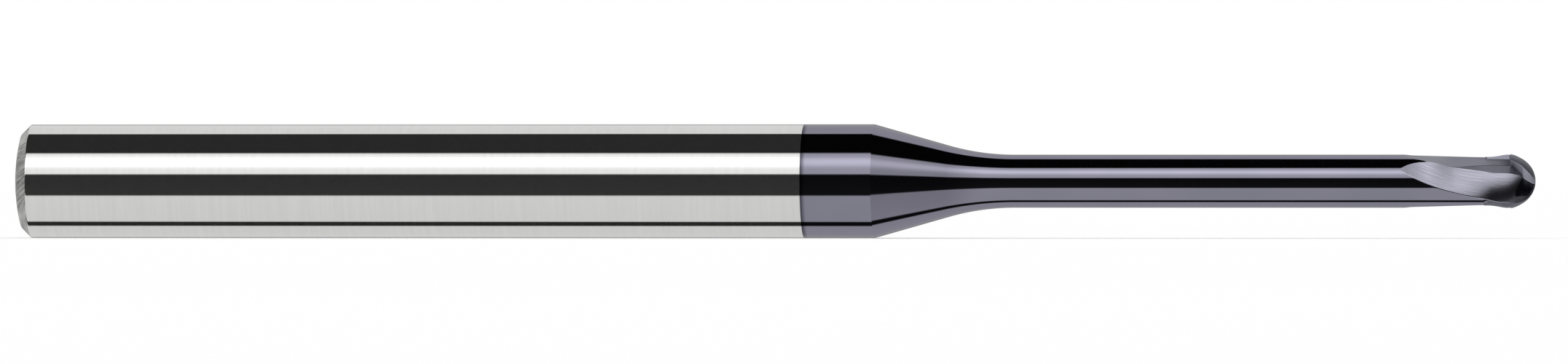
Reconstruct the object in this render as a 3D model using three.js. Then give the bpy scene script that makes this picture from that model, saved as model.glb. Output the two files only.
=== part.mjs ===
// A miniature two-flute ball-nose end mill, ground from one carbide blank.
// Millimetres, +X along the tool from the butt face to the ball tip, +Z up, and
// the origin on the axis at the butt face. Each mesh is one zone of the tool, and
// neighbouring zones meet face to face on planes square to the axis.

import * as THREE from 'three';
import { mergeVertices } from 'three/addons/utils/BufferGeometryUtils.js';

// ---------------------------------------------------------------- driving sizes

const overallLength = 42.46;      // butt face to ball tip
const shankDiameter = 3.175;      // one eighth of an inch
const shankLength = 24.07;        // full-diameter part, bright and coated together
const coatedShankLength = 1.97;   // coated part of the full diameter
const shankChamfer = 0.26;        // 45 degree chamfer round the rear end
const buttFaceDiameter = 0.6;     // flat middle of the butt face
const buttDomeRadius = 5.16;      // very shallow dome between that flat and the chamfer
const taperHalfAngle = 15.9;      // degrees, cone from the shank down to the neck
const neckDiameter = 1.48;        // slim reach between the taper and the head
const neckBlendRadius = 6.7;      // concave radius that runs the cone into the neck
const ballDiameter = 1.5875;      // one sixteenth of an inch, over the cutting edges
const headLength = 1.424;         // from the ball tip back to where the head swells
const fluteReach = 3.814;         // from the ball tip back to the end of the flutes
const fluteEndMargin = 0.16;      // plain neck kept on the flute run-out zone
const valleyRatio = 0.58;         // how far the deepest flute line is out, as a share of the head radius
const landRelief = 0.05;          // share of the radius lost behind a cutting edge

const sidesPerCircle = 64;        // facets round every plain round zone
const stepsPerBlend = 8;          // facets along the concave blend
const stepsPerDome = 5;           // facets across the shallow dome
const weldDistance = 0.002;       // points closer than this are one point

// -------------------------------------------------------------- derived places

const shankRadius = shankDiameter / 2;
const neckRadius = neckDiameter / 2;
const ballRadius = ballDiameter / 2;
const coatingStart = shankLength - coatedShankLength;
const buttFaceRadius = buttFaceDiameter / 2;
const chamferRadius = shankRadius - shankChamfer;
const domeDepth = (chamferRadius ** 2 - buttFaceRadius ** 2) / (2 * buttDomeRadius);
const shankEndLength = domeDepth + shankChamfer;
const ballCentre = overallLength - ballRadius;
const headStart = overallLength - headLength;
const fluteEnd = overallLength - fluteReach;
const runOutStart = fluteEnd - fluteEndMargin;

const taperAngle = THREE.MathUtils.degToRad(taperHalfAngle);
const blendRise = neckBlendRadius * (1 - Math.cos(taperAngle));
const blendRun = neckBlendRadius * Math.sin(taperAngle);
const coneRun = (shankRadius - neckRadius - blendRise) / Math.tan(taperAngle);
const neckStart = shankLength + coneRun + blendRun;

// ------------------------------------------------------------------- materials

const brightCarbide = new THREE.MeshStandardMaterial({ color: '#c9c9c8', roughness: 0.08, metalness: 1 });
const groundCarbide = new THREE.MeshStandardMaterial({ color: '#a3a3a1', roughness: 0.45, metalness: 1 });
const coatedCarbide = new THREE.MeshStandardMaterial({ color: '#84849a', roughness: 0.12, metalness: 1 });
const coatedFlutes = new THREE.MeshStandardMaterial({ color: '#9c9cae', roughness: 0.3, metalness: 1 });

// ------------------------------------------------------------- round zones

// A closed solid of revolution about X. The profile is a list of [x, radius].
function turned(name, profile, material) {
  const outline = [[profile[0][0], 0], ...profile, [profile.at(-1)[0], 0]];
  const points = outline.map(([x, radius]) => new THREE.Vector2(radius, x));
  const mesh = new THREE.Mesh(new THREE.LatheGeometry(points, sidesPerCircle), material);
  mesh.name = name;
  mesh.rotation.z = -Math.PI / 2;
  return mesh;
}

// The rear end of the shank: flat butt face, shallow dome and chamfer.
function makeShankEnd() {
  const profile = [];
  for (let i = 0; i <= stepsPerDome; i += 1) {
    const radius = THREE.MathUtils.lerp(buttFaceRadius, chamferRadius, i / stepsPerDome);
    profile.push([(radius ** 2 - buttFaceRadius ** 2) / (2 * buttDomeRadius), radius]);
  }
  profile.push([shankEndLength, shankRadius]);
  return turned('shank_rear_end', profile, groundCarbide);
}

// A plain cylinder from one place on the axis to the next.
function makeCylinder(name, from, to, radius, material) {
  return turned(name, [[from, radius], [to, radius]], material);
}

// The cone below the shank, and the concave radius that is tangent to cone and neck.
function makeTaper() {
  const profile = [[shankLength, shankRadius]];
  for (let i = 0; i <= stepsPerBlend; i += 1) {
    const angle = taperAngle * (1 - i / stepsPerBlend);
    const x = neckStart - neckBlendRadius * Math.sin(angle);
    const radius = neckRadius + neckBlendRadius * (1 - Math.cos(angle));
    profile.push([x, radius]);
  }
  return turned('neck_taper', profile, coatedCarbide);
}

// ------------------------------------------------------------- fluted zones
//
// Both flutes are described by one half of the cross-section, which is then copied
// at 180 degrees. Along the tool the shape follows a stage number: 0 at the end of
// the flutes, 1 where the head starts, 2 at the ball centre and 3 at the tip.

function stageToX(stage) {
  if (stage <= 1) return fluteEnd + stage * (headStart - fluteEnd);
  if (stage <= 2) return headStart + (stage - 1) * (ballCentre - headStart);
  return ballCentre + (stage - 2) * ballRadius;
}

// A smooth curve in x through [stage, value] pairs, which never overshoots them.
function through(pairs, stage) {
  const x = stageToX(stage);
  const keys = pairs.map(([at, value]) => [stageToX(at), value]);
  const last = keys.length - 1;
  if (x <= keys[0][0]) return keys[0][1];
  if (x >= keys[last][0]) return keys[last][1];
  const i = keys.findIndex((key) => key[0] > x) - 1;
  const slope = (a) => (keys[a + 1][1] - keys[a][1]) / (keys[a + 1][0] - keys[a][0]);
  const tangent = (a) => {
    if (a === 0 || a === last) return 0;
    const [before, after] = [slope(a - 1), slope(a)];
    return before * after <= 0 ? 0 : (2 * before * after) / (before + after);
  };
  const width = keys[i + 1][0] - keys[i][0];
  const t = (x - keys[i][0]) / width;
  const start = (1 + 2 * t) * (1 - t) ** 2 * keys[i][1] + t * (1 - t) ** 2 * width * tangent(i);
  const end = t * t * (3 - 2 * t) * keys[i + 1][1] - t * t * (1 - t) * width * tangent(i + 1);
  return start + end;
}

// Angles are in degrees from the top of the tool, growing the way the tool turns.
const rearAngle = [[0, 3], [0.16, -13.5], [0.35, -17.3], [0.68, -22.4], [1, -25.7], [1.06, -21.5],
  [1.12, -19.6], [1.25, -18.9], [1.5, -18.4], [2, -15.2], [2.08, -13.9], [2.14, -12], [3, 20]];
const edgeAngle = [[1, -19.6], [1.25, -18.8], [1.5, -18.5], [1.85, -16], [2.08, -13], [2.14, 36],
  [2.3, 43.5], [2.53, 50], [2.69, 57], [3, 68]];
const upperSplit = [[0, 3], [0.08, 24], [0.16, 32], [0.31, 39.6], [0.35, 43.7]];
const lowerSplit = [[0, 63.5], [0.14, 50.7], [0.27, 44.8], [0.35, 43.7]];
const ridgeAngle = [[0.5, 43], [0.68, 41.1], [1, 18.1], [1.5, 9.4], [2.08, 9.9], [2.14, 11], [2.24, 15],
  [2.31, 25], [2.53, 56], [2.64, 80.5]];
const valleyAngle = [[0.35, 43.7], [0.68, 47.2], [1, 55], [1.5, 61.5], [2.08, 61.8], [2.31, 65],
  [2.53, 70], [2.64, 80.5], [2.82, 96.8], [2.94, 115], [3, 125]];
const heelAngle = [[0, 63.5], [0.14, 76.7], [0.35, 95.7], [0.52, 107.4], [0.68, 116], [0.8, 122.5],
  [0.97, 129], [1.14, 133], [1.5, 138.5], [2, 144], [2.25, 149], [2.54, 157], [3, 165]];

const wedgeEnd = 0.35;            // stage where the flat and the flute meet in a ridge
const flatShare = 0.143;          // where the coming edge lies along the flat on the neck
const sweepStart = 2.08;          // stages between which the edge comes forward over the ball
const sweepEnd = 2.14;
const ridgeStages = [0.5, 0.68, 2.5, 2.64];  // the rake bends in: from none to full, from full to none

// Radii are shares of the radius that the blank has at the same place.
const rearShare = [[1, 1], [1.12, 0.965], [1.25, 0.957], [1.5, 0.952], [2, 0.966],
  [2.14, 1 - landRelief * 0.9], [2.5, 1 - landRelief * 1.4], [3, 1 - landRelief * 1.4]];
const edgeShare = [[1, 0.875], [1.25, 0.861], [1.5, 0.839], [1.85, 0.802], [2.08, 0.79], [2.14, 0.955],
  [2.3, 0.98], [2.5, 1]];
const ridgeShare = [[0.5, 0.8], [0.68, 0.717], [1, 0.619], [1.5, 0.586], [2.08, 0.55], [2.14, 0.555],
  [2.24, 0.56], [2.31, 0.5], [2.53, 0.51], [2.64, 0.565]];
const valleyShare = [[0.35, 1], [0.68, 0.737], [1, 0.65], [1.5, valleyRatio + 0.035],
  [2.08, valleyRatio - 0.005], [2.31, valleyRatio], [2.53, 0.586], [2.64, 0.565], [2.82, 0.557],
  [2.94, 0.69], [3, 0.75]];
const heelShare = [[0.97, 1], [1.6, 1 - landRelief * 0.4], [2, 1 - landRelief * 1.1],
  [2.5, 1 - landRelief * 1.5], [3, 1 - landRelief * 1.4]];

// The gash that opens the flute at the tip starts and ends at shares of the flute's back.
const gashTop = [[2.31, 0.56], [2.43, 0.32], [2.64, 0]];
const gashBottom = [[2.33, 0.76], [2.54, 0.767], [2.82, 0.837], [2.91, 0.66], [2.94, 0.3], [3, 0]];
const gashDepth = [[2.31, 0], [2.43, 0.04], [2.54, 0.09], [2.64, 0.12], [2.82, 0.13], [2.94, 0.07],
  [3, 0]];
const backBulge = [[0.35, 0], [0.7, 0.012], [1, 0.045], [1.5, 0.072], [2, 0.078], [2.5, 0.07], [3, 0]];

// Points along each stretch of the half section, and the stages the sections stand at.
const runPoints = { top: 4, rake: 3, floor: 3, wedge: 5, above: 4, wall: 4, below: 3, land: 13 };
const runOutSteps = [6, 7];       // sections before and after the flat meets the flute
const headStages = [...steps(1, 2, 8), 2.04, 2.08, 2.1, 2.12, 2.14, ...steps(2.2, 2.9, 8), 2.95, 2.985, 3];

// The blank: the neck, the swell of the head and the ball.
function blankRadius(x) {
  if (x >= ballCentre) return Math.sqrt(Math.max(0, ballRadius ** 2 - (x - ballCentre) ** 2));
  const swell = THREE.MathUtils.smoothstep(x, headStart, ballCentre);
  return THREE.MathUtils.lerp(neckRadius, ballRadius, swell);
}

// A point of the cross-section, from an angle and a radius. Its x is towards the front.
function polar(angle, radius) {
  const turn = THREE.MathUtils.degToRad(angle);
  return new THREE.Vector2(radius * Math.sin(turn), radius * Math.cos(turn));
}

// Points from a to b round the axis, each end given as [angle, radius]; b is left out.
function roundRun(a, b, count) {
  return Array.from({ length: count }, (_, i) => {
    const t = i / count;
    return polar(THREE.MathUtils.lerp(a[0], b[0], t), THREE.MathUtils.lerp(a[1], b[1], t));
  });
}

// Points from a to b along a straight line; b is left out.
function straightRun(a, b, count) {
  return Array.from({ length: count }, (_, i) => a.clone().lerp(b, i / count));
}

// The top of a tooth: a flat on the neck and the head that becomes a round land over the ball.
function toothTop(stage, blank, rear, upper) {
  const rearPoint = polar(...rear);
  const flatEdge = rearPoint.clone().lerp(upper, flatShare);
  const roundEdge = [through(edgeAngle, stage), blank * through(edgeShare, stage)];
  const edge = stage <= 1 ? flatEdge : polar(...roundEdge);
  const roundness = THREE.MathUtils.smoothstep(stage, sweepStart, sweepEnd);
  const roundTop = roundRun(rear, roundEdge, runPoints.top);
  const flatTop = straightRun(rearPoint, edge, runPoints.top);
  const top = flatTop.map((point, i) => point.lerp(roundTop[i], roundness));
  return { top, edge };
}

// The rake from the edge in to a shallow ridge, and the floor from the ridge to the valley.
function rakeAndFloor(stage, blank, edge, upper) {
  const [start, full, fading, end] = ridgeStages;
  const growing = THREE.MathUtils.smoothstep(stage, start, full);
  const bent = growing * (1 - THREE.MathUtils.smoothstep(stage, fading, end));
  const fullRidge = polar(through(ridgeAngle, stage), blank * through(ridgeShare, stage));
  const ridge = upper.clone().lerp(fullRidge, bent);
  return [...straightRun(edge, ridge, runPoints.rake), ...straightRun(ridge, upper, runPoints.floor)];
}

// The back of a flute, from its valley to the heel, with the gash sunk into its middle.
function fluteBack(stage, blank, valley, heel) {
  const outward = new THREE.Vector2(valley.y - heel.y, heel.x - valley.x).normalize();
  const bulge = blank * through(backBulge, stage);
  const depth = blank * through(gashDepth, stage);
  const from = through(gashTop, stage);
  const to = through(gashBottom, stage);
  const place = (t, sink) => valley.clone().lerp(heel, t)
    .addScaledVector(outward, 4 * bulge * t * (1 - t) - sink);
  const stretch = (start, end, count, sink) => Array.from({ length: count }, (_, i) => {
    const t = i / count;
    return place(THREE.MathUtils.lerp(start, end, t), 4 * sink * t * (1 - t));
  });
  return [
    ...stretch(0, from, runPoints.above, 0),
    ...stretch(from, to, runPoints.wall, depth),
    ...stretch(to, 1, runPoints.below, 0),
  ];
}

// One half of the cross-section: tooth top, rake, floor, plain wedge, flute back and land.
function halfSection(stage) {
  const blank = blankRadius(stageToX(stage));
  const joined = stage >= wedgeEnd;
  const valley = [through(valleyAngle, stage), blank * through(valleyShare, stage)];
  const upper = joined ? valley : [through(upperSplit, stage), blank];
  const lower = joined ? valley : [through(lowerSplit, stage), blank];
  const rear = [through(rearAngle, stage), blank * through(rearShare, stage)];
  const heel = [through(heelAngle, stage), blank * through(heelShare, stage)];
  const nextRear = [rear[0] + 180, rear[1]];
  const { top, edge } = toothTop(stage, blank, rear, polar(...upper));
  return [
    ...top,
    ...rakeAndFloor(stage, blank, edge, polar(...upper)),
    ...roundRun(upper, lower, runPoints.wedge),
    ...fluteBack(stage, blank, polar(...lower), polar(...heel)),
    ...roundRun(heel, nextRear, runPoints.land),
  ];
}

// A closed solid through the fluted cross-sections at the given stages.
function fluted(name, stages, material) {
  const rings = stages.map((stage) => {
    const half = halfSection(stage);
    const whole = [...half, ...half.map((point) => point.clone().negate())];
    return whole.map((point) => [stageToX(stage), -point.x, point.y]);
  });
  const sides = rings[0].length;
  const positions = rings.flat(2);
  const faces = [];
  for (let i = 0; i + 1 < rings.length; i += 1) {
    for (let j = 0; j < sides; j += 1) {
      const next = (j + 1) % sides;
      const [a, b] = [i * sides + j, i * sides + next];
      faces.push(a, b, b + sides, a, b + sides, a + sides);
    }
  }
  const centre = rings.length * sides;
  positions.push(stageToX(stages[0]), 0, 0, stageToX(stages.at(-1)), 0, 0);
  for (let j = 0; j < sides; j += 1) {
    const next = (j + 1) % sides;
    const lastRing = centre - sides;
    faces.push(centre, next, j, centre + 1, lastRing + j, lastRing + next);
  }
  const geometry = new THREE.BufferGeometry();
  geometry.setAttribute('position', new THREE.Float32BufferAttribute(positions, 3));
  geometry.setIndex(faces);
  const mesh = new THREE.Mesh(withoutSlivers(mergeVertices(geometry, weldDistance)), material);
  mesh.name = name;
  return mesh;
}

// Where runs of the cross-section close up to nothing, their triangles have no area.
function withoutSlivers(geometry) {
  const index = Array.from(geometry.index.array);
  const kept = [];
  for (let i = 0; i < index.length; i += 3) {
    const [a, b, c] = index.slice(i, i + 3);
    if (a !== b && b !== c && c !== a) kept.push(a, b, c);
  }
  geometry.setIndex(kept);
  geometry.computeVertexNormals();
  return geometry;
}

// Stages from one to another in equal steps.
function steps(from, to, count) {
  return Array.from({ length: count + 1 }, (_, i) => THREE.MathUtils.lerp(from, to, i / count));
}

function makeRunOut() {
  const plainEnd = -fluteEndMargin / (headStart - fluteEnd);
  const [before, after] = runOutSteps;
  const stages = [plainEnd, ...steps(0, wedgeEnd, before), ...steps(wedgeEnd, 1, after).slice(1)];
  return fluted('flute_run_out', stages, coatedFlutes);
}

function makeBallHead() {
  return fluted('ball_nose_head', headStages, coatedFlutes);
}

// -------------------------------------------------------------------- the tool

const tool = new THREE.Group();
tool.add(
  makeShankEnd(),
  makeCylinder('bright_shank', shankEndLength, coatingStart, shankRadius, brightCarbide),
  makeCylinder('coated_shank', coatingStart, shankLength, shankRadius, coatedCarbide),
  makeTaper(),
  makeCylinder('reach_neck', neckStart, runOutStart, neckRadius, coatedCarbide),
  makeRunOut(),
  makeBallHead(),
);

export default tool;
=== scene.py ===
# %% [markdown]
# # A miniature ball-nose end mill
# The real tool is one rod of cemented carbide, about 42 mm long, ground to shape on
# its whole length. Half of it stays bare and mirror bright, and the working end
# wears a dark violet-grey hard coating. Nothing on it is cast, moulded or folded:
# every face is the track of a grinding wheel, so every face here is a surface that
# is worked out from a formula, the way the wheel would have made it.
#
# The model is packed as a fixed frame first. All places below come from its boxes.

# %% Load the frame
import math
import bpy
import numpy as np
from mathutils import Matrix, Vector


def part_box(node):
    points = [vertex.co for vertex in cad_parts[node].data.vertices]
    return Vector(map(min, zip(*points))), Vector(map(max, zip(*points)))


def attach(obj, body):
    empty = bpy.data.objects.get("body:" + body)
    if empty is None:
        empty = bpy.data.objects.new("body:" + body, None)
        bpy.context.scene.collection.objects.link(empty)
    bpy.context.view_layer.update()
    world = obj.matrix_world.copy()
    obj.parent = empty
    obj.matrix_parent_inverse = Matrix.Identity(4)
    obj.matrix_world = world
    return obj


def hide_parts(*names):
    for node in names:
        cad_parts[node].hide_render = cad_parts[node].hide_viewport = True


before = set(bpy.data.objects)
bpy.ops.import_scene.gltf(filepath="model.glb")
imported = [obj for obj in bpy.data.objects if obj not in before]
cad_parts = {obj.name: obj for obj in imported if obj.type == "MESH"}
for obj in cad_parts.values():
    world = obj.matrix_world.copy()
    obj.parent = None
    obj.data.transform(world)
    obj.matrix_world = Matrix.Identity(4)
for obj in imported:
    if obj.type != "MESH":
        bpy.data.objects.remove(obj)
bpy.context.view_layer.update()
MM = 0.001

# %% [markdown]
# ## Where the zones of the tool begin and end
# The axis of the tool is the X axis, and neighbouring zones meet on planes square to
# it. So the first and last X of each box, and half its height, are all the sizes
# that a turned shape needs. No box shows the ball's diameter, or how far the flutes
# reach back from the tip, so those two sizes are written here. All are kept in
# millimetres, because the grinding marks are easier to think about in millimetres.

# %% Sizes from the frame
def span(node):
    """First X, last X and outer radius of a node, in millimetres."""
    low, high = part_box(node)
    return low[0] / MM, high[0] / MM, high[2] / MM


end_start, end_stop, shank_radius = span("shank_rear_end")
coating_start, shank_stop, _ = span("coated_shank")
neck_start, run_out_start, neck_radius = span("reach_neck")
_, head_start, _ = span("flute_run_out")
_, tip, _ = span("ball_nose_head")
BALL_DIAMETER = 1.5875
FLUTE_REACH = 3.814
ball_radius = BALL_DIAMETER / 2
ball_centre = tip - ball_radius
flute_end = tip - FLUTE_REACH
print(f"coating from {coating_start:.2f}, neck from {neck_start:.2f}, "
      f"head from {head_start:.2f}, tip {tip:.2f}")

# %% [markdown]
# ## Two small helpers for materials
# Colours are picked as sRGB hex values, as a paint chart gives them, but a shader
# works in linear light, so one function turns one into the other. A second one adds
# a node, sets it up and links it in one go, which keeps each material readable. In
# it an input goes by its socket's name, with _ for a space, or by I and its number.

# %% Colour and node helpers
SRGB_KNEE = 0.04045


def linear(hex_colour):
    """sRGB hex to linear RGBA: divide below the knee of the curve, a power above it."""
    channels = np.array([int(hex_colour[i:i + 2], 16) / 255 for i in (1, 3, 5)])
    low, high = channels / 12.92, ((channels + 0.055) / 1.055) ** 2.4
    return (*np.where(channels <= SRGB_KNEE, low, high), 1.0)


def add(tree, kind, settings=None, **inputs):
    """Adds a node. settings are its own properties; each input is a value or a socket to link."""
    made = tree.nodes.new(kind)
    for name, value in (settings or {}).items():
        setattr(made, name, value)
    for name, value in inputs.items():
        key = int(name[1:]) if name[1:].isdigit() else name.replace("_", " ")
        if isinstance(value, bpy.types.NodeSocket):
            tree.links.new(value, made.inputs[key])
        else:
            made.inputs[key].default_value = value
    return made


def grey(level):
    """One level for all three channels, fully opaque."""
    return (level, level, level, 1.0)


def set_stops(ramp, stops):
    """Puts (position, linear colour) stops on a colour ramp."""
    while len(ramp.elements) < len(stops):
        ramp.elements.new(0.5)
    for element, (position, colour) in zip(ramp.elements, stops):
        element.position = position
        element.color = colour


def new_material(name):
    """An empty node material with only its output, returned with its tree and output node."""
    material = bpy.data.materials.new(name)
    material.use_nodes = True
    tree = material.node_tree
    tree.nodes.clear()
    return material, tree, tree.nodes.new("ShaderNodeOutputMaterial")


# %% [markdown]
# ## Bare polished carbide
# Cemented carbide is tungsten carbide grains in a little cobalt, and a shank is
# centreless-ground and polished until it mirrors the room. It reads as a neutral
# steel grey with hard-edged bands of reflected light. The grains scatter a few per
# cent of the light, which lifts the darkest bands off black. Faint rings from the
# grinding wheel cross the shank; the real ones are a few microns apart, and here
# they are drawn a tenth of a millimetre apart so that they can show at all. The rims
# of a real shank stay a little grey, which the lowered edge tint gives.

# %% Bare carbide
RINGS_PER_MM = 10
BARE_EDGE_TINT = 0.86


def make_bare_carbide():
    material, tree, output = new_material("bare_carbide_centreless_ground")
    place = add(tree, "ShaderNodeTexCoord")
    rings_at = add(tree, "ShaderNodeMapping", Vector=place.outputs["Object"],
                   Scale=(RINGS_PER_MM / MM, 0.4 / MM, 0.4 / MM))
    rings = add(tree, "ShaderNodeTexNoise", Vector=rings_at.outputs[0], Scale=1.0, Detail=3.0)
    tone = add(tree, "ShaderNodeValToRGB", Fac=rings.outputs["Fac"])
    set_stops(tone.color_ramp, [(0.3, linear("#C2C2C1")), (0.7, linear("#C6C6C5"))])
    gloss = add(tree, "ShaderNodeMapRange", Value=rings.outputs["Fac"], To_Min=0.03, To_Max=0.05)
    surface = add(tree, "ShaderNodeBsdfPrincipled", Base_Color=tone.outputs[0], Metallic=0.965,
                  Roughness=gloss.outputs[0], Specular_Tint=grey(BARE_EDGE_TINT))
    tree.links.new(surface.outputs[0], output.inputs["Surface"])
    return material


bare_carbide = make_bare_carbide()
print("made", bare_carbide.name)

# %% [markdown]
# ## Coarse-ground carbide
# The rear end is cut off and chamfered on a rough wheel and never polished. It is
# a flat mid grey, dull, and crossed by short slanting scratches, each about 0.03 mm
# wide. Stretched noise makes such scratches: it is squeezed across them and drawn
# out along them.

# %% Coarse-ground carbide
SCRATCH_SLANT = math.radians(35)
SCRATCH_DEPTH = 0.006


def make_ground_carbide():
    material, tree, output = new_material("bare_carbide_coarse_ground")
    place = add(tree, "ShaderNodeTexCoord")
    slant = add(tree, "ShaderNodeMapping", Vector=place.outputs["Object"], Rotation=(SCRATCH_SLANT, 0, 0))
    drawn = add(tree, "ShaderNodeMapping", Vector=slant.outputs[0], Scale=(3 / MM, 1.2 / MM, 16 / MM))
    scratches = add(tree, "ShaderNodeTexNoise", Vector=drawn.outputs[0], Scale=1.0, Detail=5.0,
                    Roughness=0.65)
    tone = add(tree, "ShaderNodeValToRGB", Fac=scratches.outputs["Fac"])
    set_stops(tone.color_ramp, [(0.32, linear("#6E6E6C")), (0.5, linear("#9E9E9C")),
                                (0.68, linear("#C4C4C2"))])
    gloss = add(tree, "ShaderNodeMapRange", Value=scratches.outputs["Fac"], To_Min=0.5, To_Max=0.32)
    relief = add(tree, "ShaderNodeBump", Height=scratches.outputs["Fac"], Strength=0.8,
                 Distance=SCRATCH_DEPTH * MM)
    surface = add(tree, "ShaderNodeBsdfPrincipled", Base_Color=tone.outputs[0], Metallic=0.7,
                  Roughness=gloss.outputs[0], Normal=relief.outputs[0])
    tree.links.new(surface.outputs[0], output.inputs["Surface"])
    return material


ground_carbide = make_ground_carbide()
print("made", ground_carbide.name)

# %% [markdown]
# ## The hard coating on polished carbide
# An aluminium-titanium nitride film a few microns thick, grown in a vacuum chamber.
# It copies the polish below it, so it mirrors the same bands, but returns only a
# third of the light and leans to violet. Its hue drifts a little with thickness.
# Where the masked shank begins, the film thins out over a tenth of a millimetre and
# leaves a soft darker line.

# %% Coated polished carbide
FRINGE_FROM, FRINGE_TO = 0.02, 0.14
COATED_EDGE_TINT = 0.66


def make_coated_polish():
    material, tree, output = new_material("nitride_coating_on_polish")
    place = add(tree, "ShaderNodeTexCoord")
    drift_at = add(tree, "ShaderNodeMapping", Vector=place.outputs["Object"],
                   Scale=(0.5 / MM, 0.9 / MM, 0.9 / MM))
    drift = add(tree, "ShaderNodeTexNoise", Vector=drift_at.outputs[0], Scale=1.0, Detail=2.0)
    tone = add(tree, "ShaderNodeValToRGB", Fac=drift.outputs["Fac"])
    set_stops(tone.color_ramp, [(0.3, linear("#777683")), (0.7, linear("#7C7A87"))])
    along = add(tree, "ShaderNodeSeparateXYZ", Vector=place.outputs["Object"])
    fade = add(tree, "ShaderNodeMapRange", Value=along.outputs["X"],
               From_Min=(coating_start + FRINGE_FROM) * MM, From_Max=(coating_start + FRINGE_TO) * MM)
    edge = add(tree, "ShaderNodeMix", {"data_type": "RGBA"}, Factor=fade.outputs[0],
               I6=linear("#3E3E48"), I7=tone.outputs[0])
    speck = add(tree, "ShaderNodeTexNoise", Vector=place.outputs["Object"], Scale=40 / MM, Detail=2.0)
    gloss = add(tree, "ShaderNodeMapRange", Value=speck.outputs["Fac"], To_Min=0.04, To_Max=0.07)
    surface = add(tree, "ShaderNodeBsdfPrincipled", Base_Color=edge.outputs[2], Metallic=1.0,
                  Roughness=gloss.outputs[0], Specular_Tint=grey(COATED_EDGE_TINT))
    tree.links.new(surface.outputs[0], output.inputs["Surface"])
    return material


coated_polish = make_coated_polish()
print("made", coated_polish.name)

# %% [markdown]
# ## The hard coating on ground faces
# Flutes, lands and gashes are ground with a fine wheel and coated as they are. The
# film copies every grinding line, so these faces are satin, lighter in the bright
# parts, and streaked along the way the wheel went. The streaks follow the piece's
# own UV map, which is laid out in millimetres: U runs along the flute and V across
# it. Real lines are about 0.004 mm apart; these are about 0.02 mm apart, the finest
# that still shows. Where a face is cut into a corner and mirrors little light, its
# coating is drawn less metallic, and so lighter: painted light that keeps a satin grey
# the face's own shade would take away. Some faces also get a darker or lighter
# coating colour than the rest, as painted shade or a painted highlight.

# %% Coated ground carbide
GLOSS_SPREAD = 0.06
GROUND_EDGE_TINT = 0.7


def make_coated_ground(name, stretch, dark, light, satin, depth, metal=1.0):
    """stretch: streaks per millimetre along U and V; satin: roughness; depth: of a streak, in mm."""
    material, tree, output = new_material(name)
    flow = add(tree, "ShaderNodeUVMap", {"uv_map": "flow"})
    drawn = add(tree, "ShaderNodeMapping", Vector=flow.outputs[0], Scale=(stretch[0], stretch[1], 1))
    lines = add(tree, "ShaderNodeTexNoise", {"noise_dimensions": "2D"}, Vector=drawn.outputs[0],
                Scale=1.0, Detail=4.0, Roughness=0.6)
    tone = add(tree, "ShaderNodeValToRGB", Fac=lines.outputs["Fac"])
    set_stops(tone.color_ramp, [(0.3, linear(dark)), (0.7, linear(light))])
    gloss = add(tree, "ShaderNodeMapRange", Value=lines.outputs["Fac"],
                To_Min=satin + GLOSS_SPREAD, To_Max=satin - GLOSS_SPREAD)
    relief = add(tree, "ShaderNodeBump", Height=lines.outputs["Fac"], Strength=1.0, Distance=depth * MM)
    surface = add(tree, "ShaderNodeBsdfPrincipled", Base_Color=tone.outputs[0], Metallic=metal,
                  Roughness=gloss.outputs[0], Normal=relief.outputs[0],
                  Specular_Tint=grey(GROUND_EDGE_TINT))
    tree.links.new(surface.outputs[0], output.inputs["Surface"])
    return material


# %% [markdown]
# Six ground faces wear that coating, and the eye tells them apart by their streaks:
# the flute is the lightest and has long lines; the rake and the flat beside it are
# plainer, and a little less metallic, a mild painted light; the rake over the ball is a
# lighter dull grey and far less metallic, painted light where it lies in shade; the
# relieved lands are cross-hatched and drawn darker, painted shade; the gash is drawn
# nearly black, painted shade in its pocket; the honed edge is drawn light, a painted
# highlight.

# %% Six ground faces
coated_flute = make_coated_ground("nitride_coating_on_flute_grind", (0.9, 60),
                                  "#757580", "#8C8B96", 0.24, 0.0011)
# The rake's coating is drawn a little less metallic: a mild painted light on faces that mirror little light.
coated_rake_painted_light = make_coated_ground("nitride_coating_on_rake_grind_painted_light", (1.2, 50),
                                 "#757581", "#7E7E8A", 0.36, 0.0004, metal=0.8)
# The tip rake's lighter, far less metallic coating is painted light, lifting a face that lies in shade.
coated_tip_rake_painted_light = make_coated_ground("nitride_coating_on_tip_rake_grind_painted_light", (3, 40),
                                     "#82828D", "#9292A0", 0.4, 0.0004, metal=0.35)
# The relieved land's darker base is painted shade; its cross-hatched streaks are the real grinding lines.
coated_relief_streaks_and_painted_shade = make_coated_ground("nitride_coating_on_relief_grind_with_painted_shade", (70, 22),
                                   "#4C4C55", "#6E6E79", 0.38, 0.0008, metal=0.7)
# The gash's coating is drawn nearly black: painted shade for its deep pocket, on the same coating as the
# other faces.
coated_gash_painted_shade = make_coated_ground("nitride_coating_on_gash_grind_painted_shade", (2, 40),
                                 "#22222A", "#34343E", 0.35, 0.0006)
# The honed edge's coating is drawn lighter than the rest: a painted highlight along the cutting edge.
coated_edge_painted_highlight = make_coated_ground("nitride_coating_on_honed_edge_painted_highlight", (6, 6),
                                 "#A5A5B2", "#B4B4C0", 0.3, 0.0002)
print("made", coated_flute.name, coated_rake_painted_light.name, coated_tip_rake_painted_light.name)
print("made", coated_relief_streaks_and_painted_shade.name, coated_gash_painted_shade.name, coated_edge_painted_highlight.name)

# %% [markdown]
# ## From a grid of points to a piece
# Every shape here is a grid: rows along the tool, columns round it. Neighbouring
# points make squares, squares are cut into triangles, and triangles that have shrunk
# to a line, as they do at the tip, are dropped. Points that fall on each other are
# merged, so each piece is one closed skin.

# %% Grid helper
MERGE_GRID = 20000


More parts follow.
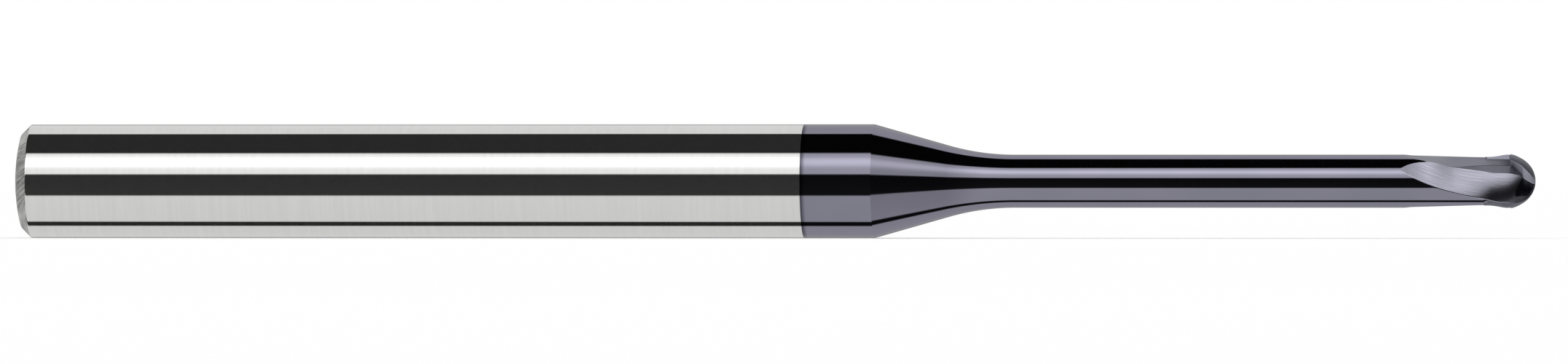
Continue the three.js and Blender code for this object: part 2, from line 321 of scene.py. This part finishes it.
def piece_from_grid(name, points, caps, materials, shades=None, flow=None, crease=22):
    """Closed solid from points[row, column, xyz] in mm, with columns wrapping round.

    caps says whether the first and last row get a flat end. shades[row, column] is the
    material number of the square that starts there, and flow[row, column] its UV in mm.
    Points are merged on a grid of MERGE_GRID steps to the millimetre.
    """
    rows, columns, _ = points.shape
    index = np.arange(rows * columns).reshape(rows, columns)
    wrapped = np.concatenate([index, index[:, :1]], axis=1)
    a, b = wrapped[:-1, :-1].ravel(), wrapped[:-1, 1:].ravel()
    c, d = wrapped[1:, 1:].ravel(), wrapped[1:, :-1].ravel()
    faces = np.concatenate([np.stack([a, b, c], 1), np.stack([a, c, d], 1)])
    shade = np.zeros(len(a), int) if shades is None else shades[:-1].ravel()
    shade = np.concatenate([shade, shade])
    flat = points.reshape(-1, 3)
    here, ahead = (np.zeros((rows, columns, 2)),) * 2 if flow is None else flow
    corner = {"a": here[:-1], "b": ahead[:-1], "c": ahead[1:], "d": here[1:]}
    uv = np.concatenate([np.stack([corner[k].reshape(-1, 2) for k in "abc"], 1),
                         np.stack([corner[k].reshape(-1, 2) for k in "acd"], 1)])
    for row, first, wanted in ((0, True, caps[0]), (rows - 1, False, caps[1])):
        if not wanted:
            continue
        ring = index[row]
        hub = len(flat)
        flat = np.concatenate([flat, flat[ring].mean(0, keepdims=True)])
        after = np.roll(ring, -1)
        middle = np.full(columns, hub)
        fan = np.stack([middle, after, ring] if first else [middle, ring, after], 1)
        faces = np.concatenate([faces, fan])
        shade = np.concatenate([shade, np.zeros(columns, int)])
        uv = np.concatenate([uv, flat[fan][..., 1:]])
    _, first_of, same_as = np.unique(np.round(flat * MERGE_GRID).astype(int), axis=0,
                                     return_index=True, return_inverse=True)
    same_as = same_as.ravel()
    merged = same_as[faces]
    solid = (merged[:, 0] != merged[:, 1]) & (merged[:, 1] != merged[:, 2]) & (merged[:, 2] != merged[:, 0])
    merged, shade, uv = merged[solid], shade[solid], uv[solid]
    mesh = bpy.data.meshes.new(name)
    mesh.from_pydata(flat[first_of] * MM, [], merged.tolist())
    for material in materials:
        mesh.materials.append(material)
    mesh.polygons.foreach_set("material_index", shade.astype(np.int32))
    mesh.polygons.foreach_set("use_smooth", np.ones(len(merged), bool))
    mesh.uv_layers.new(name="flow").data.foreach_set("uv", uv.reshape(-1).astype(np.float32))
    mesh.set_sharp_from_angle(angle=math.radians(crease))
    mesh.update()
    piece = bpy.data.objects.new(name, mesh)
    bpy.context.scene.collection.objects.link(piece)
    low, high = points[..., 0].min(), points[..., 0].max()
    print(f"{name}: {len(merged)} triangles, X {low:.2f} to {high:.2f} mm")
    return piece


def settle(piece, node):
    """Rides the piece on the tool's only body, in place of a CAD node, which it hides."""
    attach(piece, "root")
    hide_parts(node)


# %% [markdown]
# ## The turned zones
# A turned shape is a profile, X against radius, carried round the axis. Sharp
# corners never survive the wheel, so each outer corner gets a small round: the
# profile arrives along one line, and leaves along the next on an arc between them.

# %% Turned zones
SIDES = 192


def turned(name, profile, material, crease=22):
    """Each profile point (x, r) becomes the ring y = -r sin(a), z = r cos(a)."""
    x, radius = np.array(profile, float).T
    angle = np.arange(SIDES) * (2 * math.pi / SIDES)
    points = np.stack([
        np.repeat(x[:, None], SIDES, 1),
        -radius[:, None] * np.sin(angle),
        radius[:, None] * np.cos(angle),
    ], -1)
    return piece_from_grid(name, points, (True, True), [material], crease=crease)


def rounded_corner(before, corner, after, radius, steps=6):
    """Arc of the given radius that touches both lines through a corner of the profile."""
    before, corner, after = (np.array(p, float) for p in (before, corner, after))
    back = (before - corner) / np.linalg.norm(before - corner)
    on = (after - corner) / np.linalg.norm(after - corner)
    half = math.acos(float(back @ on)) / 2
    centre = corner + (back + on) / np.linalg.norm(back + on) * radius / math.sin(half)
    reach = radius / math.tan(half)
    start, stop = corner + back * reach, corner + on * reach
    first, last = np.arctan2(*(start - centre)[::-1]), np.arctan2(*(stop - centre)[::-1])
    turn = (last - first + math.pi) % (2 * math.pi) - math.pi
    angle = first + turn * np.linspace(0, 1, steps + 1)
    return (centre + radius * np.stack([np.cos(angle), np.sin(angle)], 1)).tolist()


# %% [markdown]
# ### The rear end
# A flat in the middle, a very shallow dome, then a 45 degree chamfer. The dome is a
# parabola, x growing with the square of the radius, which is what a large sphere
# looks like near its pole. The round between chamfer and cylinder is cut where the
# two pieces meet, so that each keeps its own share of the arc.

# %% Rear end and shank
CHAMFER = 0.26
FLAT_RADIUS = 0.3
DOME_POINTS = 16
KNEE_ROUND = 0.05
CORNER_ROUND = 0.06
chamfer_radius = shank_radius - CHAMFER
dome_depth = end_stop - end_start - CHAMFER


def rear_end_profile():
    """x = depth * (r^2 - flat^2) / (edge^2 - flat^2), then the chamfer with its corner rounded."""
    radius = np.linspace(FLAT_RADIUS, chamfer_radius, DOME_POINTS)
    rise = (radius ** 2 - FLAT_RADIUS ** 2) / (chamfer_radius ** 2 - FLAT_RADIUS ** 2)
    x = end_start + dome_depth * rise
    dome = np.stack([x, radius], 1).tolist()
    knee = rounded_corner(dome[-2], dome[-1], (end_stop, shank_radius), KNEE_ROUND)
    return dome[:-2] + knee


rear_profile = rear_end_profile()
shank_corner, shank_end = (end_stop, shank_radius), (coating_start, shank_radius)
corner_arc = rounded_corner(rear_profile[-1], shank_corner, shank_end, CORNER_ROUND)
meeting = [end_stop, float(np.interp(end_stop, *np.array(corner_arc).T))]
rear_profile += [p for p in corner_arc if p[0] < end_stop] + [meeting]
shank_profile = [meeting] + [p for p in corner_arc if p[0] >= end_stop] + [shank_end]
band_profile = [shank_end, (shank_stop, shank_radius)]
settle(turned("shank_rear_end_ground", rear_profile, ground_carbide, 40),
       "shank_rear_end")
settle(turned("shank_bright_cylinder", shank_profile, bare_carbide),
       "bright_shank")
settle(turned("shank_coated_band", band_profile, coated_polish),
       "coated_shank")

# %% [markdown]
# ### The cone and the neck
# The cone leaves the shank at a crisp corner, and a concave arc of several
# millimetres brings it down onto the neck without a step. The arc touches the neck
# where the neck begins, so its angle and radius fix the rest.

# %% Cone and neck
CONE_ANGLE = math.radians(15.9)
BLEND_RADIUS = 6.7
BLEND_POINTS = 49


def cone_profile():
    """A straight cone, then x = neck - R sin(a), r = neck radius + R (1 - cos(a)) as a goes to zero."""
    angle = CONE_ANGLE * (1 - np.linspace(0, 1, BLEND_POINTS))
    x = neck_start - BLEND_RADIUS * np.sin(angle)
    radius = neck_radius + BLEND_RADIUS * (1 - np.cos(angle))
    return [(shank_stop, shank_radius), *zip(x, radius)]


neck_profile = [(neck_start, neck_radius), (run_out_start, neck_radius)]
settle(turned("neck_cone_and_blend", cone_profile(), coated_polish, 10),
       "neck_taper")
settle(turned("neck_long_reach", neck_profile, coated_polish), "reach_neck")

# %% [markdown]
# ## The fluted zones
# Two flutes, one the half-turn copy of the other. One half of the cross-section is a
# chain of runs between a few corner points: the rear of the tooth's top, its cutting
# edge, the valley of the flute, the gash that opens the flute at the tip, the heel,
# and the land back to the other tooth. How each corner's angle and radius change
# along the tool is a smooth curve through a few chosen values.
#
# Progress along the tool is a stage: 0 where the flutes end on the neck, 1 where the
# head begins to swell, 2 at the centre of the ball, 3 at its tip.

# %% Stages and smooth curves
def stage_to_x(stage):
    """Straight lines between the places of stages 0, 1, 2 and 3, and straight on below 0."""
    places = [flute_end, head_start, ball_centre, tip]
    before = flute_end + stage * (head_start - flute_end)
    return np.where(stage < 0, before, np.interp(stage, [0, 1, 2, 3], places))


def through(keys, stage):
    """Cubic pieces in x through (stage, value) keys, with harmonic-mean slopes, so none overshoots."""
    at, value = np.array(keys, float).T
    at = stage_to_x(at)
    x = np.clip(stage_to_x(stage), at[0], at[-1])
    rise = np.diff(value) / np.diff(at)
    product, total = rise[:-1] * rise[1:], rise[:-1] + rise[1:]
    inner = np.where(product > 0, 2 * product / np.where(product > 0, total, 1), 0)
    slope = np.concatenate([[0], inner, [0]])
    i = np.clip(np.searchsorted(at, x, side="right") - 1, 0, len(at) - 2)
    width = at[i + 1] - at[i]
    t = (x - at[i]) / width
    start = (1 + 2 * t) * (1 - t) ** 2 * value[i] + t * (1 - t) ** 2 * width * slope[i]
    stop = t * t * (3 - 2 * t) * value[i + 1] - t * t * (1 - t) * width * slope[i + 1]
    return start + stop


def ease(value, low, high):
    """0 below low, 1 above high, and a smooth s-curve between."""
    t = np.clip((value - low) / (high - low), 0, 1)
    return t * t * (3 - 2 * t)


# %% [markdown]
# ### The corners of the section
# Each table gives one corner's angle or radius as (stage, value) pairs. On the neck
# a flat and the flute are two cuts with plain neck between them; at WEDGE_END they
# meet in a valley. On the head the rake bends in at a shallow ridge. Just past the
# centre of the ball the cutting edge sweeps forward over it.

# %% Corners of the cross-section
WEDGE_END = 0.35
FLAT_SHARE = 0.143
SWEEP = (2.08, 2.14)

# degrees from the top of the tool, growing the way it turns
rear_angle = [(0, 3), (0.16, -13.5), (0.35, -17.3), (0.68, -22.4), (1, -25.7), (1.06, -21.5), (1.12, -19.6),
              (1.25, -18.9), (1.5, -18.4), (2, -15.2), (2.08, -13.9), (2.14, -12), (3, 20)]
edge_angle = [(1, -19.6), (1.25, -18.8), (1.5, -18.5), (1.85, -16), (2.08, -13), (2.14, 36), (2.3, 43.5),
              (2.53, 50), (2.69, 57), (3, 68)]
upper_split = [(0, 3), (0.08, 24), (0.16, 32), (0.31, 39.6), (0.35, 43.7)]
lower_split = [(0, 63.5), (0.14, 50.7), (0.27, 44.8), (0.35, 43.7)]
valley_angle = [(0.35, 43.7), (0.68, 47.2), (1, 55), (1.5, 61.5), (2.08, 61.8), (2.31, 65), (2.53, 70),
                (2.64, 80.5), (2.82, 96.8), (2.94, 115), (3, 125)]
ridge_angle = [(0.5, 43), (0.68, 41.1), (1, 18.1), (1.5, 9.4), (2.08, 9.9), (2.14, 11), (2.24, 15),
               (2.31, 25), (2.53, 56), (2.64, 80.5)]
heel_angle = [(0, 63.5), (0.14, 76.7), (0.35, 95.7), (0.52, 107.4), (0.68, 116), (0.8, 122.5), (0.97, 129),
              (1.14, 133), (1.5, 138.5), (2, 144), (2.25, 149), (2.54, 157), (3, 165)]

# shares of the radius that the blank has at the same place
rear_share = [(1, 1), (1.12, 0.965), (1.25, 0.957), (1.5, 0.952), (2, 0.966), (2.14, 0.955), (2.5, 0.93),
              (3, 0.93)]
edge_share = [(1, 0.875), (1.25, 0.861), (1.5, 0.839), (1.85, 0.802), (2.08, 0.79), (2.14, 0.955),
              (2.3, 0.98), (2.5, 1)]
valley_share = [(0.35, 1), (0.68, 0.737), (1, 0.65), (1.5, 0.615), (2.08, 0.575), (2.31, 0.58),
                (2.53, 0.586), (2.64, 0.565), (2.82, 0.557), (2.94, 0.69), (3, 0.75)]
ridge_share = [(0.5, 0.8), (0.68, 0.717), (1, 0.619), (1.5, 0.586), (2.08, 0.55), (2.14, 0.555),
               (2.24, 0.56), (2.31, 0.5), (2.53, 0.51), (2.64, 0.565)]
heel_share = [(0.97, 1), (1.6, 0.98), (2, 0.945), (2.5, 0.925), (3, 0.93)]

# shares of the way from the valley to the heel, and depths as shares of the blank
gash_top = [(2.31, 0.56), (2.43, 0.32), (2.64, 0)]
gash_bottom = [(2.33, 0.76), (2.54, 0.767), (2.82, 0.837), (2.91, 0.66), (2.94, 0.3), (3, 0)]
gash_depth = [(2.31, 0), (2.43, 0.04), (2.54, 0.09), (2.64, 0.12), (2.82, 0.13), (2.94, 0.07), (3, 0)]
back_bulge = [(0.35, 0), (0.7, 0.012), (1, 0.045), (1.5, 0.072), (2, 0.078), (2.5, 0.07), (3, 0)]
print("flutes run from X", round(float(stage_to_x(0)), 2), "to", round(float(stage_to_x(3)), 2), "mm")

# %% [markdown]
# ### Runs between the corners
# All stages are worked out at once: every quantity below is a column with one value
# per stage, and every run adds its own columns of points. The last point of a run is
# the first of the next, so it is left out. A run that has closed up to nothing is
# still there, with its points on top of each other, and the grid helper drops it.

# %% Runs
RUNS = {"top": 24, "hone": 2, "rake": 14, "line": 2, "floor": 12, "wedge": 26, "above": 26, "wall": 18,
        "below": 14, "lip": 5, "land": 38}
run_start = dict(zip(RUNS, np.cumsum([0, *RUNS.values()])))


def polar(angle, radius):
    """Depth towards the front is r sin(a), height is r cos(a)."""
    turn = np.radians(angle)
    return np.stack([radius * np.sin(turn), radius * np.cos(turn)], -1)


def blank_radius(x):
    """The neck, a smooth swell up to the ball's radius, and then the ball itself."""
    ball = np.sqrt(np.clip(ball_radius ** 2 - np.clip(x - ball_centre, 0, None) ** 2, 0, None))
    swell = neck_radius + (ball_radius - neck_radius) * ease(x, head_start, ball_centre)
    return np.where(x >= ball_centre, ball, swell)


def straight_run(a, b, count):
    """Even steps along the line from a to b."""
    t = (np.arange(count) / count)[None, :, None]
    return a[:, None] * (1 - t) + b[:, None] * t


def round_run(a, b, count):
    """a and b are (angle, radius) pairs; angle and radius both change evenly."""
    t = (np.arange(count) / count)[None, :]
    angle = a[0][:, None] * (1 - t) + b[0][:, None] * t
    radius = a[1][:, None] * (1 - t) + b[1][:, None] * t
    return polar(angle, radius)


def bend_run(a, corner, b, count):
    """Quadratic curve that leaves a and reaches b along the two sides of a corner."""
    t = (np.arange(count) / count)[None, :, None]
    return (1 - t) ** 2 * a[:, None] + 2 * t * (1 - t) * corner[:, None] + t * t * b[:, None]


print(f"one half of the section has {sum(RUNS.values())} points")

# %% [markdown]
# ### Top and front of a tooth
# The top is flat on the neck and on the head, and becomes a round land over the
# ball. The edge there is honed: a band 0.008 mm wide takes the sharpness off. Below
# it lie the rake, a hair of a step left by the wheel's corner, and the floor. Each
# detail grows in over one stretch of stages and fades out over another.

# %% Top and front
HONE, HONE_GROWS, HONE_FULL_AT = 0.008, (2.12, 2.2), 0.3
STEP, STEP_GROWS, STEP_FADES = 0.016, (0.55, 0.8), (2.0, 2.1)
STEP_WAY = np.array([0.643, -0.766])
RIDGE_GROWS, RIDGE_FADES = (0.5, 0.68), (2.5, 2.64)


def toward(start, goal, length):
    """The point a given length away from start on the line to goal."""
    gap = goal - start
    return start + gap / np.maximum(np.linalg.norm(gap, axis=-1, keepdims=True), 1e-9) * length


def tooth_top(stage, blank, rear, upper):
    """Runs from the rear of the top over the edge and its hone, and where the hone ends."""
    edge_polar = (through(edge_angle, stage), blank * through(edge_share, stage))
    flat_edge = polar(*rear) * (1 - FLAT_SHARE) + polar(*upper) * FLAT_SHARE
    edge = np.where((stage > 1)[:, None], polar(*edge_polar), flat_edge)
    roundness = ease(stage, *SWEEP)[:, None, None]
    flat_top = straight_run(polar(*rear), edge, RUNS["top"])
    round_top = round_run(rear, edge_polar, RUNS["top"])
    hone = HONE * np.clip(blank / HONE_FULL_AT, 0, 1)[:, None] * ease(stage, *HONE_GROWS)[:, None]
    edge_low = toward(edge, polar(*upper), hone)
    top = flat_top * (1 - roundness) + round_top * roundness
    return [top, straight_run(edge, edge_low, RUNS["hone"])], edge_low


def tooth_front(stage, blank, edge_low, upper):
    """Runs down the rake, over the step at the ridge, and along the floor to the valley."""
    has_ridge = (ease(stage, *RIDGE_GROWS) * (1 - ease(stage, *RIDGE_FADES)))[:, None]
    ridge_polar = (through(ridge_angle, stage), blank * through(ridge_share, stage))
    ridge = polar(*upper) * (1 - has_ridge) + polar(*ridge_polar) * has_ridge
    step = STEP * (ease(stage, *STEP_GROWS) * (1 - ease(stage, *STEP_FADES)))[:, None]
    step_end = ridge + step * STEP_WAY
    return [
        straight_run(edge_low, ridge, RUNS["rake"]),
        straight_run(ridge, step_end, RUNS["line"]),
        straight_run(step_end, polar(*upper), RUNS["floor"]),
    ]


# %% [markdown]
# ### Back of the flute
# From the valley the flute's back bulges a little on its way to the heel. The gash
# is sunk into its middle at the tip, and a narrow lip bends into the land beyond.

# %% Back of the flute
LIP, LIP_MOST, LIP_FULL_AT = 0.02, 0.2, 0.4


def flute_back(stage, blank, lower, heel):
    """Runs from the valley to the heel, with h = 4 bulge t (1 - t) over the chord, and land's start."""
    low, high = polar(*lower), polar(*heel)
    along = high - low
    length = np.maximum(np.linalg.norm(along, axis=-1, keepdims=True), 1e-9)
    outward = np.stack([-along[:, 1], along[:, 0]], -1) / length
    bulge, depth = blank * through(back_bulge, stage), blank * through(gash_depth, stage)
    lip = np.minimum(LIP, LIP_MOST * length[:, 0]) * np.clip(blank / LIP_FULL_AT, 0, 1)
    last = 1 - lip / length[:, 0]
    first, second = through(gash_top, stage), np.minimum(through(gash_bottom, stage), last)

    def back_at(t, sink):
        out = 4 * bulge[:, None] * t * (1 - t) - sink
        return low[:, None] + along[:, None] * t[..., None] + outward[:, None] * out[..., None]

    def back(start, stop, count, sink):
        local = (np.arange(count) / count)[None, :]
        t = start[:, None] * (1 - local) + stop[:, None] * local
        return back_at(t, 4 * sink[:, None] * local * (1 - local))

    none = np.zeros_like(stage)
    land_start = (heel[0] + np.degrees(lip / np.maximum(heel[1], 1e-6)), heel[1])
    lip_start = back_at(last[:, None], 0)[:, 0]
    return [
        back(none, first, RUNS["above"], none),
        back(first, second, RUNS["wall"], depth),
        back(second, last, RUNS["below"], none),
        bend_run(lip_start, high, polar(*land_start), RUNS["lip"]),
    ], land_start


# %% [markdown]
# ### One half of the section
# The runs follow each other round half the tool; the other half is the same, turned.

# %% Half section
def half_section(stage):
    """Points [stage, column, (depth, height)] of one half, in millimetres."""
    blank = blank_radius(stage_to_x(stage))
    joined = stage >= WEDGE_END
    valley = (through(valley_angle, stage), blank * through(valley_share, stage))
    upper = [np.where(joined, v, w) for v, w in zip(valley, (through(upper_split, stage), blank))]
    lower = [np.where(joined, v, w) for v, w in zip(valley, (through(lower_split, stage), blank))]
    rear = (through(rear_angle, stage), blank * through(rear_share, stage))
    heel = (through(heel_angle, stage), blank * through(heel_share, stage))
    top, edge_low = tooth_top(stage, blank, rear, upper)
    front = tooth_front(stage, blank, edge_low, upper)
    wedge = round_run(upper, lower, RUNS["wedge"])
    back, land_start = flute_back(stage, blank, lower, heel)
    land = round_run(land_start, (rear[0] + 180, rear[1]), RUNS["land"])
    return np.concatenate([*top, *front, wedge, *back, land], 1)


# %% [markdown]
# ### The finishes of the fluted zones
# Each run of the section knows which wheel cut it: polished neck, flute, rake and
# the flat beside it, relieved land, gash, or the hair-thin honed edge, drawn light as
# a painted highlight. The gash and the relieved land carry painted shade, and the
# rakes painted light. Most faces change over where the head starts; a few change later,
# and the relief starts along a slanted line. The UV map is laid out here as well, from
# the line that the wheel followed, so that streaks run along each cut.

# %% Finishes and lay
FINISHES = [coated_polish, coated_flute, coated_relief_streaks_and_painted_shade, coated_gash_painted_shade, coated_edge_painted_highlight, coated_rake_painted_light,
            coated_tip_rake_painted_light]
FINISH_ON_NECK = {"top": coated_rake_painted_light, "hone": coated_rake_painted_light, "rake": coated_rake_painted_light, "line": coated_rake_painted_light,
                  "floor": coated_rake_painted_light, "wedge": coated_polish, "above": coated_flute,
                  "wall": coated_flute, "below": coated_flute, "lip": coated_flute,
                  "land": coated_polish}
# On the head the gash and the relieved land take finishes with painted shade, and the hone a painted
# highlight.
FINISH_ON_HEAD = FINISH_ON_NECK | {"top": coated_relief_streaks_and_painted_shade, "hone": coated_edge_painted_highlight, "wedge": coated_flute,
                                   "wall": coated_gash_painted_shade, "land": coated_relief_streaks_and_painted_shade}
HEAD_FINISH_FROM = {"top": 2.11, "hone": 2.12, "wall": 2.32}
TIP_RAKE_FROM = 2.12
RELIEF_FROM, RELIEF_SLANT, SLANT_SHARE = 1.25, 0.25, 0.6
LAY_FROM = {"top": "hone", "hone": "hone", "rake": "hone", "line": "wedge", "floor": "wedge",
            "wedge": "wedge", "above": "land", "wall": "land", "below": "land", "lip": "land",
            "land": "land"}


def per_column(value_of_run):
    """One value for each column of the half section, from one value for each run."""
    return np.concatenate([np.full(count, value_of_run(run)) for run, count in RUNS.items()])


def lay_of_the_grind(points, half_columns):
    """UV in mm: U is the way along the blank's profile, V the way round from the wheel's line."""
    rows = len(points)
    radius = np.sqrt((points[..., 1:] ** 2).sum(-1)).max(1)
    x = points[:, 0, 0]
    step = np.hypot(np.diff(x, prepend=x[0]), np.diff(radius, prepend=radius[0]))
    along = x[0] + np.cumsum(step)[:, None]
    ring = np.concatenate([points, points[:, :1]], 1)
    sides = np.linalg.norm(np.diff(ring, axis=1), axis=-1)
    round_it = np.concatenate([np.zeros((rows, 1)), np.cumsum(sides, 1)], 1)
    start = per_column(lambda run: run_start[LAY_FROM[run]])
    start = np.concatenate([start, start + half_columns])
    zero = round_it[:, start]
    here = np.stack([np.broadcast_to(along, zero.shape), round_it[:, :-1] - zero], -1)
    ahead = np.stack([np.broadcast_to(along, zero.shape), round_it[:, 1:] - zero], -1)
    return here, ahead


def finish_of_squares(stage):
    """Number in FINISHES of each square of the half section, [stage, column]."""
    on_neck = per_column(lambda run: FINISHES.index(FINISH_ON_NECK[run]))
    on_head = per_column(lambda run: FINISHES.index(FINISH_ON_HEAD[run]))
    head_from = per_column(lambda run: HEAD_FINISH_FROM.get(run, 1.0))
    land = np.arange(RUNS["land"]) / (SLANT_SHARE * RUNS["land"])
    head_from[run_start["land"]:] = RELIEF_FROM - RELIEF_SLANT * np.clip(land, 0, 1)
    shades = np.where(stage[:, None] >= head_from[None, :], on_head, on_neck)
    # The rake over the ball takes the finish with painted light.
    shades[stage >= TIP_RAKE_FROM, run_start["rake"]:run_start["line"]] = FINISHES.index(coated_tip_rake_painted_light)
    return shades


# %% [markdown]
# ### The two fluted pieces
# Rows stand closest where the shape changes fastest: where the edge sweeps forward,
# and towards the tip, where equal steps of angle on the ball crowd together.

# %% Fluted pieces
FLUTE_CREASE = 14


def fluted(name, stage):
    """Half section and its half-turn copy, set at x for every stage."""
    half = half_section(stage)
    whole = np.concatenate([half, -half], 1)
    x = np.repeat(stage_to_x(stage)[:, None], whole.shape[1], 1)
    points = np.stack([x, -whole[..., 0], whole[..., 1]], -1)
    shades = np.concatenate([finish_of_squares(stage)] * 2, 1)
    flow = lay_of_the_grind(points, half.shape[1])
    print(f"{name}: {len(stage)} rows of {whole.shape[1]} points")
    return piece_from_grid(name, points, (True, stage[-1] < 3), FINISHES, shades, flow, FLUTE_CREASE)


plain_end = (run_out_start - flute_end) / (head_start - flute_end)
run_out_stages = np.concatenate([[plain_end], np.linspace(0, 1, 150)])
ball_angle = np.linspace(math.asin(SWEEP[1] - 2), math.pi / 2, 100)
head_stages = np.concatenate([np.linspace(1, 2, 70), np.linspace(2, SWEEP[0], 8)[1:],
                              np.linspace(*SWEEP, 13)[1:], 2 + np.sin(ball_angle[1:])])
settle(fluted("flute_run_out_on_neck", run_out_stages), "flute_run_out")
settle(fluted("ball_nose_cutting_head", head_stages), "ball_nose_head")

# %% [markdown]
# ## The studio
# A mirror-bright rod shows nothing but its surroundings, so the light is the
# picture. Round the tool's axis the tent has bands: a wide soft light above and
# behind, a black flag, a bright strip just above the camera, a dark opening for the
# camera itself, another wide light below, and one narrow gap in it. BANDS gives them
# as (degrees up from the camera's side, level). ALONG dims the tent towards both
# ends of the tool, as (cosine with the axis, share). Only mirror rays see the bands.

# %% Light tent
BANDS = [(-180, 0.5), (-165, 0.55), (-152, 1.08), (-105.5, 1.05), (-103, 0.015), (-92, 0.015),
         (-89.5, 1.05), (-31, 1.08), (-28.5, 0.026), (13, 0.012), (15.5, 1.36), (23, 1.42), (28, 1.65),
         (33, 2.2), (38, 2.55), (43, 2.5), (47, 2.1), (51, 1.6), (57, 1.42), (60, 0.003),
         (111.5, 0.003), (113.5, 1.15), (152, 1.15), (165, 0.6), (180, 0.5)]
ALONG = [(-1.0, 0.6), (-0.7, 1.0), (0.15, 1.0), (0.25, 0.92), (0.42, 0.75), (0.6, 0.34), (0.75, 0.22),
         (1.0, 0.06)]


def make_light_tent():
    """Mirror rays see bands by their angle round the X axis; all other rays see even white."""
    world = bpy.data.worlds.new("light_tent")
    world.use_nodes = True
    bpy.context.scene.world = world
    tree = world.node_tree
    tree.nodes.clear()
    way = add(tree, "ShaderNodeTexCoord")
    parts = add(tree, "ShaderNodeSeparateXYZ", Vector=way.outputs["Generated"])
    front = add(tree, "ShaderNodeMath", {"operation": "MULTIPLY"}, I0=parts.outputs["Y"], I1=-1.0)
    angle = add(tree, "ShaderNodeMath", {"operation": "ARCTAN2"}, I0=parts.outputs["Z"], I1=front.outputs[0])
    turn = add(tree, "ShaderNodeMapRange", Value=angle.outputs[0], From_Min=-math.pi, From_Max=math.pi)
    ramp = add(tree, "ShaderNodeValToRGB", Fac=turn.outputs[0])
    brightest = max(level for _, level in BANDS)
    set_stops(ramp.color_ramp, [((a + 180) / 360, grey(v / brightest)) for a, v in BANDS])
    way_along = add(tree, "ShaderNodeMapRange", Value=parts.outputs["X"], From_Min=-1.0, From_Max=1.0)
    fall_off = add(tree, "ShaderNodeValToRGB", Fac=way_along.outputs[0])
    set_stops(fall_off.color_ramp, [((x + 1) / 2, grey(v)) for x, v in ALONG])
    level = add(tree, "ShaderNodeMath", {"operation": "MULTIPLY"}, I0=fall_off.outputs[0], I1=brightest)
    bands = add(tree, "ShaderNodeBackground", Color=ramp.outputs[0], Strength=level.outputs[0])
    even = add(tree, "ShaderNodeBackground", Color=grey(1.0), Strength=1.0)
    ray = add(tree, "ShaderNodeLightPath")
    mixed = add(tree, "ShaderNodeMixShader", Fac=ray.outputs["Is Glossy Ray"],
                I1=even.outputs[0], I2=bands.outputs[0])
    add(tree, "ShaderNodeOutputWorld", Surface=mixed.outputs[0])
    return world


light_tent = make_light_tent()
print("made", light_tent.name, "with", len(BANDS), "stops round the axis")

# %% [markdown]
# ### The floor
# The tool lies on matt white paper with a grain too faint to notice. The sheet runs
# on until it meets the white of the tent. The metal does not mirror it, because the
# tent's lower light stands in its place.

# %% Floor
FLOOR_HALF = 4.0
GRAIN_SCALE = 60.0


def make_floor():
    """A pale sheet under the shank, wide enough to meet the white of the tent."""
    side = FLOOR_HALF
    corners = [(-side, -side), (side, -side), (side, side), (-side, side)]
    mesh = bpy.data.meshes.new("floor")
    mesh.from_pydata([(x, y, -shank_radius * MM) for x, y in corners], [], [(0, 1, 2, 3)])
    floor = bpy.data.objects.new("floor", mesh)
    bpy.context.scene.collection.objects.link(floor)
    material, tree, output = new_material("matt_white_paper")
    grain = add(tree, "ShaderNodeTexNoise", Scale=GRAIN_SCALE)
    tone = add(tree, "ShaderNodeValToRGB", Fac=grain.outputs["Fac"])
    set_stops(tone.color_ramp, [(0.0, linear("#FEFEFE")), (1.0, linear("#FFFFFF"))])
    surface = add(tree, "ShaderNodeBsdfDiffuse", Color=tone.outputs[0])
    tree.links.new(surface.outputs[0], output.inputs["Surface"])
    mesh.materials.append(material)
    floor.visible_glossy = False
    return floor


floor = make_floor()
print("floor at z", round(-shank_radius, 4), "mm")

# %% [markdown]
# ### The camera
# A long lens, level with the tool and turned five degrees towards its tip, keeps
# both ends of the tool the same size. The frame is a little wider than the tool. It
# aims at the middle of the tool's length, a hair below its axis.

# %% Camera
LENS, SENSOR = 380.0, 36.0
FRAME_WIDTH = 43.67 * MM
YAW = math.radians(5.1)
AIM = np.array([21.53, 0.0, -0.022]) * MM
away = np.array([math.sin(YAW), -math.cos(YAW), 0.0])
lens_data = bpy.data.cameras.new("camera")
lens_data.lens, lens_data.sensor_width = LENS, SENSOR
camera = bpy.data.objects.new("camera", lens_data)
bpy.context.scene.collection.objects.link(camera)
camera.location = AIM + away * FRAME_WIDTH * LENS / SENSOR
camera.rotation_euler = (math.pi / 2, 0, YAW)
lens_data.clip_start, lens_data.clip_end = 0.01, 10.0
bpy.context.scene.camera = camera
bpy.context.scene.view_settings.view_transform = "Standard"
print("camera at", [round(float(c), 3) for c in camera.location], "m")
